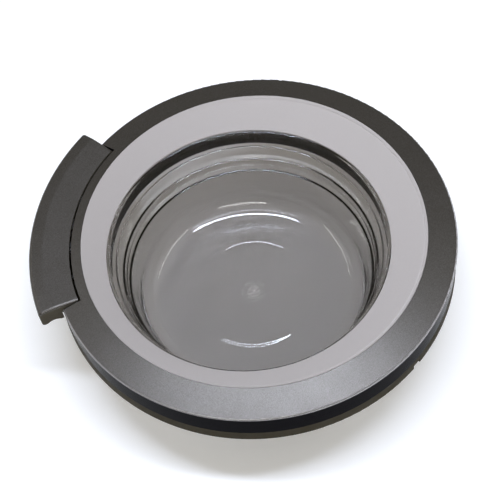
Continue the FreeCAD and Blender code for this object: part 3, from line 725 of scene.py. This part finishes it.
@dataclass
class GlassBowl:
    """Deep pressed-glass bowl with a clamped flange and steps in its wall, in millimetres.

    Each inner ledge has a height and a width, and its shape is in shares of that width.
    """

    finishes: FinishSet
    wall: float = 5.0
    floor: float = 6.0
    mouth_r: float = 157.0
    floor_r: float = 126.0
    floor_round: float = 24.0
    hollow_round: float = 36.0
    pad_r: float = 74.0
    pad_h: float = 1.6
    pad_slope: float = 5.0
    pad_round: float = 9.0
    rim_w: float = 3.0
    rim_h: float = 1.2
    rim_round: float = 7.0
    rim_foot_round: float = 3.0
    flange_t: float = 5.5
    edge_round: float = 2.0
    mouth_round: float = 5.0
    ledges: tuple[tuple[float, float], ...] = ((58.5, 2.3), (66.5, 1.3), (75.0, 2.3), (93.0, 1.7))
    ledge_shape: tuple[Corner, ...] = ((-0.5, -0.31, 0.2), (0.0, 0.0, 2.05), (0.5, 0.07, 0.08))
    steps: tuple[float, float] = (75.0, 60.0)
    step_w: float = 2.0
    step_h: float = 2.5
    step_round: float = 4.0
    segments: int = 240
    round_steps: int = 8
    run: float = 3.5
    wave_h: float = 0.22
    waves_per_metre: float = 16.0
    wave_stretch: float = 4.0

    def wall_r(self, z: float, top: float) -> float:
        """Give the inner radius of the plain leaning wall at a height."""
        share = (z - self.floor) / (top - self.floor)
        return self.floor_r + (self.mouth_r - self.floor_r) * share

    def profile(self, flange_r: float, top: float) -> list[Corner]:
        """Give the bowl's cross-section from the axis over the inside to the underside.

        Args:
            flange_r: outer radius of the flange.
            top: height of the flange's top face.

        Returns:
            Corners with roundings.
        """
        pad_top = self.floor + self.pad_h
        rim_r = self.pad_r - self.pad_slope / 2
        inside: list[Corner] = [(0.0, pad_top - self.rim_h, 0.0),
                                (rim_r - self.rim_w, pad_top - self.rim_h, self.rim_foot_round),
                                (rim_r, pad_top, self.rim_round),
                                (self.pad_r + self.pad_slope / 2, self.floor, self.pad_round),
                                (self.floor_r, self.floor, self.hollow_round)]
        for z, width in self.ledges:
            for across, rise, bend in self.ledge_shape:
                inside.append((self.wall_r(z, top) + across * width, z + rise * width, bend * width))
        inside.append((self.mouth_r, top, self.mouth_round))
        low = top - self.flange_t
        outside: list[Corner] = [(flange_r, top, self.edge_round), (flange_r, low, self.edge_round),
                                 (self.mouth_r + self.wall, low, self.edge_round)]
        for z in self.steps:
            for side in (1, -1):
                high = z + side * self.step_h
                outside.append((self.wall_r(high, top) + side * self.step_w / 2 + self.wall, high, self.step_round))
        outside.append((self.floor_r + self.wall, 0.0, self.floor_round + self.wall))
        outside.append((0.0, 0.0, 0.0))
        return inside + outside

    def lathe(self) -> TreeSheet:
        """Build the tree that turns the profile and gives the wall the waves that the mould leaves.

        Returns:
            The tree.
        """
        number = "NodeSocketFloat"
        sheet = TreeSheet("bowl_lathe", {"Segments": "NodeSocketInt", "Wave Height": number, "Waves": number,
                                         "Stretch": number, "Wave Foot": number, "Wave Top": number,
                                         "Wave Fade": number, "Material": "NodeSocketMaterial"})
        given = sheet.start.outputs
        skin = sheet.turned(given["Geometry"], given["Segments"])
        place = sheet.add("GeometryNodeInputPosition").outputs["Position"]
        split = sheet.add("ShaderNodeSeparateXYZ", {"Vector": place}).outputs
        high = sheet.math("MULTIPLY", split["Z"], given["Stretch"])
        spot = sheet.add("ShaderNodeCombineXYZ", {"X": split["X"], "Y": split["Y"], "Z": high}).outputs["Vector"]
        noise = sheet.add("ShaderNodeTexNoise", {"Vector": spot, "Scale": given["Waves"], "Detail": 1.0})
        swing = sheet.math("MULTIPLY", sheet.math("SUBTRACT", noise.outputs["Fac"], 0.5), given["Wave Height"])
        foot = sheet.ramp(split["Z"], given["Wave Foot"], sheet.math("ADD", given["Wave Foot"], given["Wave Fade"]))
        top = sheet.ramp(split["Z"], given["Wave Top"], sheet.math("SUBTRACT", given["Wave Top"], given["Wave Fade"]))
        amount = sheet.math("MULTIPLY", swing, sheet.math("MULTIPLY", foot, top))
        normal = sheet.add("GeometryNodeInputNormal").outputs["Normal"]
        push = sheet.add("ShaderNodeVectorMath", {0: normal, "Scale": amount}, operation="SCALE")
        waved = sheet.add("GeometryNodeSetPosition", {"Geometry": skin, "Offset": push.outputs["Vector"]})
        smooth = sheet.add("GeometryNodeSetShadeSmooth", {"Geometry": waved.outputs["Geometry"]})
        sheet.finish(smooth.outputs["Geometry"])
        return sheet

    def build(self) -> bpy.types.Object:
        """Build the bowl in place of its CAD node.

        Returns:
            The bowl.
        """
        _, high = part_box("glass_bowl")
        corners = self.profile(high.x / MM, high.z / MM)
        points = divided(rounded_path(corners, self.round_steps), self.run)
        sizes = {"Segments": self.segments, "Wave Height": self.wave_h * MM, "Waves": self.waves_per_metre,
                 "Stretch": self.wave_stretch, "Wave Foot": self.pad_h * 2 * MM,
                 "Wave Top": high.z - self.flange_t * 2 * MM, "Wave Fade": self.floor_round / 2 * MM,
                 "Material": self.finishes.glass}
        bowl = self.lathe().bake("pressed_glass_bowl", line_mesh("bowl_profile", points), sizes)
        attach(bowl, Body.DOOR.value)
        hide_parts("glass_bowl")
        LOG.info("%s: %d faces", bowl.name, len(bowl.data.polygons))
        return bowl


@dataclass
class PullHandle:
    """Graphite handle cover on its black lever."""

    finishes: FinishSet

    def dress(self, frame: dict) -> None:
        """Dress the handle."""
        dress(frame, self.finishes.handle, "handle_cover")
        dress(frame, self.finishes.black, "handle_lever")


@dataclass
class LatchMechanism:
    """Axle, bracket and hook behind the handle."""

    finishes: FinishSet

    def dress(self, frame: dict) -> None:
        """Dress the mechanism."""
        dress(frame, self.finishes.ground, "handle_pin")
        dress(frame, self.finishes.spring, "pin_clips")
        dress(frame, self.finishes.zinc, "latch_bracket")
        dress(frame, self.finishes.cast, "latch_hook")


@dataclass
class ReturnSprings:
    """Two torsion springs round the axle, with legs on the bracket and the hook, in millimetres."""

    finishes: FinishSet
    wire_r: float = 0.6
    turns: int = 3
    steps: int = 40
    sides: int = 14

    def route(self, node: str) -> list[Vector]:
        """Give the wire's centre line, from the leg on the bracket over the coil to the leg on the hook.

        Args:
            node: name of the spring's CAD node.

        Returns:
            Points in metres.
        """
        low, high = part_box(node)
        axle = sum(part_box("handle_pin"), Vector()) / 2
        wire = self.wire_r * MM
        coil_r = (high.z - low.z) / 2 - wire
        outer, inner = sorted((low.y + wire, high.y - wire), key=abs, reverse=True)
        count = self.turns * self.steps
        points = [Vector((high.x, outer, axle.z - coil_r))]
        for step in range(count + 1):
            turn = 2 * math.pi * step / self.steps
            points.append(Vector((axle.x - coil_r * math.sin(turn), outer + (inner - outer) * step / count,
                                  axle.z - coil_r * math.cos(turn))))
        points.append(Vector((low.x, inner, axle.z - coil_r)))
        return points

    def tree(self) -> TreeSheet:
        """Build the tree that draws a round wire along a line.

        Returns:
            The tree.
        """
        sheet = TreeSheet("round_wire", {"Wire Radius": "NodeSocketFloat", "Sides": "NodeSocketInt",
                                         "Material": "NodeSocketMaterial"})
        given = sheet.start.outputs
        line = sheet.add("GeometryNodeMeshToCurve", {"Mesh": given["Geometry"]})
        ring = sheet.add("GeometryNodeCurvePrimitiveCircle", {"Resolution": given["Sides"],
                                                              "Radius": given["Wire Radius"]})
        wire = sheet.add("GeometryNodeCurveToMesh", {"Curve": line.outputs["Curve"],
                                                     "Profile Curve": ring.outputs["Curve"], "Fill Caps": True})
        smooth = sheet.add("GeometryNodeSetShadeSmooth", {"Geometry": wire.outputs["Mesh"]})
        sheet.finish(smooth.outputs["Geometry"])
        return sheet

    def build(self) -> list[bpy.types.Object]:
        """Build both springs, each held by the bracket at one end and by the hook at the other.

        Returns:
            The springs.
        """
        tree = self.tree()
        springs = []
        for node in ("spring_left", "spring_right"):
            points = self.route(node)
            sizes = {"Wire Radius": self.wire_r * MM, "Sides": self.sides, "Material": self.finishes.spring}
            spring = tree.bake("wound_" + node, line_mesh(node + "_line", points), sizes)
            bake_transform(spring)
            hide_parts(node)
            LOG.info("%s: %d faces", spring.name, len(spring.data.polygons))
            springs.append(spring)
        return springs


@dataclass
class HingeSet:
    """Leaf, backing plate, pin, bushes and the machine-side bracket."""

    finishes: FinishSet

    def dress(self, frame: dict) -> None:
        """Dress the hinge."""
        dress(frame, self.finishes.zinc, "hinge_leaf", "hinge_backing_plate")
        dress(frame, self.finishes.cast, "hinge_bracket")
        dress(frame, self.finishes.nylon, "hinge_bush_upper", "hinge_bush_lower")
        dress(frame, self.finishes.ground, "hinge_pin")
        dress(frame, self.finishes.spring, "hinge_pin_clips")


@dataclass
class ScrewSet:
    """Pan-head screws on the back of the door, each with a cross recess, in millimetres.

    The crest and the tip are shares of the pitch, and the head's face is a share of its height.
    """

    finishes: FinishSet
    ring_x: float = 7.6
    ring_r: float = 208.5
    ring_angles: tuple[float, ...] = (25.0, 60.0, 95.0, 130.0)
    leaf_y: float = 16.0
    head_r: float = 3.9
    head_h: float = 2.4
    head_face: float = 0.8
    seat_round: float = 0.2
    round_steps: int = 5
    shank_r: float = 1.65
    core_r: float = 1.25
    pitch: float = 1.1
    crest: Span = (0.4, 0.55)
    tip: float = 0.25
    recess_half: float = 0.42
    recess_reach: float = 2.1
    recess_depth: float = 1.3
    recess_slope: float = 0.25
    run: float = 0.2
    segments: int = 48
    seed: int = 7

    def places(self, group: Fastener) -> list[Vector]:
        """Give the seats under the heads of one group of screws.

        Args:
            group: the group.

        Returns:
            Points in metres.
        """
        low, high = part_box(group.value)
        seat = low.z + self.head_h * MM
        if group is Fastener.FRAME:
            turns = [math.radians(side * angle) for angle in self.ring_angles for side in (1, -1)]
            return [Vector((self.ring_x * MM + self.ring_r * MM * math.cos(turn), self.ring_r * MM * math.sin(turn),
                            seat)) for turn in turns]
        reach = high.y - self.head_r * MM
        offsets = [reach] if group is Fastener.LATCH else [reach, self.leaf_y * MM]
        return [Vector(((low.x + high.x) / 2, side * y, seat)) for y in offsets for side in (1, -1)]

    def profile(self, length: float) -> list[Vector]:
        """Give half a screw's outline, from the middle of the head to the tip.

        Args:
            length: length of the shank.

        Returns:
            Points in metres, with the seat under the head at height 0.
        """
        head = [(0.0, -self.head_h, 0.0), (self.head_r, -self.head_h, self.head_h / 2),
                (self.head_r, 0.0, self.seat_round), (self.shank_r, 0.0, 0.0)]
        turns = int((length - self.pitch) / self.pitch)
        winding = [(self.core_r, 0.0)] + [(self.shank_r, share) for share in self.crest]
        thread = [(radius * MM, 0.0, (turn + share) * self.pitch * MM) for turn in range(1, turns + 1)
                  for radius, share in winding]
        tip = [(self.core_r * MM, 0.0, (length - self.pitch * self.tip) * MM), (0.0, 0.0, length * MM)]
        return divided(rounded_path(head, self.round_steps), self.run) + [Vector(point) for point in thread + tip]

    def tree(self) -> TreeSheet:
        """Build the tree that turns a screw, sinks its cross recess and sets it on every seat.

        Returns:
            The tree.
        """
        number = "NodeSocketFloat"
        sheet = TreeSheet("screw_set", {"Seats": "NodeSocketObject", "Segments": "NodeSocketInt",
                                        "Head Height": number, "Recess Half Width": number, "Recess Reach": number,
                                        "Recess Slope": number, "Recess Depth": number, "Seed": "NodeSocketInt",
                                        "Material": "NodeSocketMaterial"})
        given = sheet.start.outputs
        skin = sheet.turned(given["Geometry"], given["Segments"])
        place = sheet.add("GeometryNodeInputPosition").outputs["Position"]
        split = sheet.add("ShaderNodeSeparateXYZ", {"Vector": place}).outputs
        across = [sheet.math("ABSOLUTE", split[axis]) for axis in ("X", "Y")]
        slots = []
        for narrow, wide in (across, across[::-1]):
            inside = sheet.ramp(narrow, sheet.math("ADD", given["Recess Half Width"], given["Recess Slope"]),
                                given["Recess Half Width"])
            along = sheet.ramp(wide, sheet.math("ADD", given["Recess Reach"], given["Recess Slope"]),
                               given["Recess Reach"])
            slots.append(sheet.math("MULTIPLY", inside, along))
        cross = sheet.math("MAXIMUM", *slots)
        face = sheet.math("LESS_THAN", split["Z"], sheet.math("MULTIPLY", given["Head Height"], -self.head_face))
        sink = sheet.math("MULTIPLY", sheet.math("MULTIPLY", cross, face), given["Recess Depth"])
        push = sheet.add("ShaderNodeCombineXYZ", {"Z": sink}).outputs["Vector"]
        cut = sheet.add("GeometryNodeSetPosition", {"Geometry": skin, "Offset": push}).outputs["Geometry"]
        smooth = sheet.add("GeometryNodeSetShadeSmooth", {"Geometry": cut, "Shade Smooth": False})
        seats = sheet.add("GeometryNodeObjectInfo", {"Object": given["Seats"]}).outputs["Geometry"]
        spin = sheet.add("FunctionNodeRandomValue", {"Seed": given["Seed"]}, data_type="FLOAT_VECTOR")
        spin.inputs["Max"].default_value = (0.0, 0.0, 2 * math.pi)
        screws = sheet.add("GeometryNodeInstanceOnPoints", {"Points": seats, "Instance": smooth.outputs["Geometry"],
                                                            "Rotation": spin.outputs["Value"]})
        sheet.finish(screws.outputs["Instances"])
        return sheet

    def build(self) -> list[bpy.types.Object]:
        """Build every group of screws in place of its CAD node.

        Returns:
            The groups.
        """
        tree = self.tree()
        groups = []
        for group in Fastener:
            low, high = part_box(group.value)
            seats = bpy.data.meshes.new(group.value + "_seats")
            seats.from_pydata([tuple(place) for place in self.places(group)], [], [])
            carrier = bpy.data.objects.new(group.value + "_seats", seats)
            bpy.context.scene.collection.objects.link(carrier)
            profile = line_mesh("screw_profile", self.profile((high.z - low.z) / MM - self.head_h))
            sizes = {"Seats": carrier, "Segments": self.segments, "Head Height": self.head_h * MM,
                     "Recess Half Width": self.recess_half * MM, "Recess Reach": self.recess_reach * MM,
                     "Recess Slope": self.recess_slope * MM, "Recess Depth": self.recess_depth * MM,
                     "Seed": self.seed, "Material": self.finishes.zinc}
            screws = tree.bake("cross_" + group.value, profile, sizes)
            bpy.data.objects.remove(carrier)
            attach(screws, Body.DOOR.value)
            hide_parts(group.value)
            LOG.info("%s: %d faces", screws.name, len(screws.data.polygons))
            groups.append(screws)
        return groups


@dataclass(frozen=True)
class SoftLamp:
    """Soft studio lamp that looks at the door."""

    name: str
    place: Corner
    width: float
    height: float
    power: float
    colour: Colour = (1.0, 1.0, 1.0)

    def build(self, target: Vector) -> None:
        """Hang the lamp.

        Args:
            target: point that it looks at.
        """
        light = bpy.data.lights.new(self.name, "AREA")
        light.shape = "RECTANGLE"
        light.size = self.width
        light.size_y = self.height
        light.energy = self.power
        light.color = self.colour
        lamp = bpy.data.objects.new(self.name, light)
        lamp.location = self.place
        back = (Vector(self.place) - target).normalized()
        side = (Vector((1.0, 0.0, 0.0)) - back * back.x).normalized()
        lamp.rotation_euler = Matrix((side, back.cross(side), back)).transposed().to_euler()
        bpy.context.scene.collection.objects.link(lamp)


@dataclass
class Studio:
    """Pale floor, soft lamps, plain world and the camera."""

    floor_half: float = 12.0
    floor_colour: Colour = (0.93, 0.93, 0.93)
    floor_roughness: float = 0.9
    floor_glow: float = 0.18
    world_colour: Colour = (0.270, 0.252, 0.212)
    target: Vector = field(default_factory=lambda: Vector((0.0, 0.0, 0.12)))
    lamps: tuple[SoftLamp, ...] = (
        SoftLamp("overhead_strip", (0.08, -0.05, 1.9), 1.5, 0.16, 34.0, (0.78, 0.85, 1.0)),
        SoftLamp("front_strip", (0.4, -1.7, 1.6), 1.5, 0.12, 9.0),
        SoftLamp("left_strip", (-1.5, 0.05, 1.1), 0.06, 1.3, 3.2),
        SoftLamp("right_strip", (1.3, 0.3, 1.35), 0.06, 1.3, 2.4),
    )
    camera_place: Corner = (0.1501, -0.6540, 1.1491)
    camera_right: Corner = (0.99108, 0.11382, -0.06928)
    camera_up: Corner = (-0.05961, 0.84375, 0.53342)
    lens_mm: float = 79.2
    sensor_mm: float = 36.0

    def floor(self) -> None:
        """Lay the floor under the bowl."""
        half = self.floor_half
        mesh = bpy.data.meshes.new("studio_floor")
        mesh.from_pydata([(-half, -half, 0.0), (half, -half, 0.0), (half, half, 0.0), (-half, half, 0.0)], [],
                         [(0, 1, 2, 3)])
        mesh.materials.append(self.paper())
        floor = bpy.data.objects.new("studio_floor", mesh)
        bpy.context.scene.collection.objects.link(floor)

    def paper(self) -> bpy.types.Material:
        """Build the floor's pale paper, which glows a little to the camera, to gloss and through glass.

        Returns:
            The material.
        """
        sheet = NodeSheet("studio_paper")
        sheet.constant(Base_Color=self.floor_colour, Roughness=self.floor_roughness)
        path = sheet.tree.nodes.new("ShaderNodeLightPath")
        seen = path.outputs["Is Camera Ray"]
        for ray in ("Is Glossy Ray", "Is Transmission Ray"):
            either = sheet.tree.nodes.new("ShaderNodeMath")
            either.operation = "MAXIMUM"
            sheet.link(seen, either.inputs[0])
            sheet.link(path.outputs[ray], either.inputs[1])
            seen = either.outputs[0]
        glow = sheet.tree.nodes.new("ShaderNodeEmission")
        sheet.link(sheet.remap(seen, 0.0, 1.0, 0.0, self.floor_glow), glow.inputs["Strength"])
        both = sheet.tree.nodes.new("ShaderNodeAddShader")
        sheet.link(sheet.shader.outputs["BSDF"], both.inputs[0])
        sheet.link(glow.outputs["Emission"], both.inputs[1])
        sheet.link(both.outputs["Shader"], sheet.output.inputs["Surface"])
        return sheet.material

    def light(self) -> None:
        """Set the world and hang the lamps."""
        world = bpy.data.worlds.new("studio_world")
        bpy.context.scene.world = world
        world.use_nodes = True
        world.node_tree.nodes["Background"].inputs["Color"].default_value = (*self.world_colour, 1.0)
        for lamp in self.lamps:
            lamp.build(self.target)

    def camera(self) -> None:
        """Set the camera at the photograph's viewing angle."""
        data = bpy.data.cameras.new("camera")
        data.sensor_width = self.sensor_mm
        data.lens = self.lens_mm
        right = Vector(self.camera_right).normalized()
        up = Vector(self.camera_up)
        up = (up - right * up.dot(right)).normalized()
        turn = Matrix((right, up, right.cross(up))).transposed()
        camera = bpy.data.objects.new("camera", data)
        camera.matrix_world = Matrix.Translation(self.camera_place) @ turn.to_4x4()
        bpy.context.scene.collection.objects.link(camera)
        bpy.context.scene.camera = camera

    def build(self) -> None:
        """Build the studio."""
        bpy.context.scene.view_settings.view_transform = "Standard"
        self.floor()
        self.light()
        self.camera()


def main() -> None:
    """Load the frame, build and dress every sub-assembly, and set up the studio."""
    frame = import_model()
    finishes = FinishSet.built()
    FrameRings(finishes).dress(frame)
    GlassBowl(finishes).build()
    PullHandle(finishes).dress(frame)
    LatchMechanism(finishes).dress(frame)
    ReturnSprings(finishes).build()
    HingeSet(finishes).dress(frame)
    ScrewSet(finishes).build()
    Studio().build()


if __name__ == "__main__":
    main()
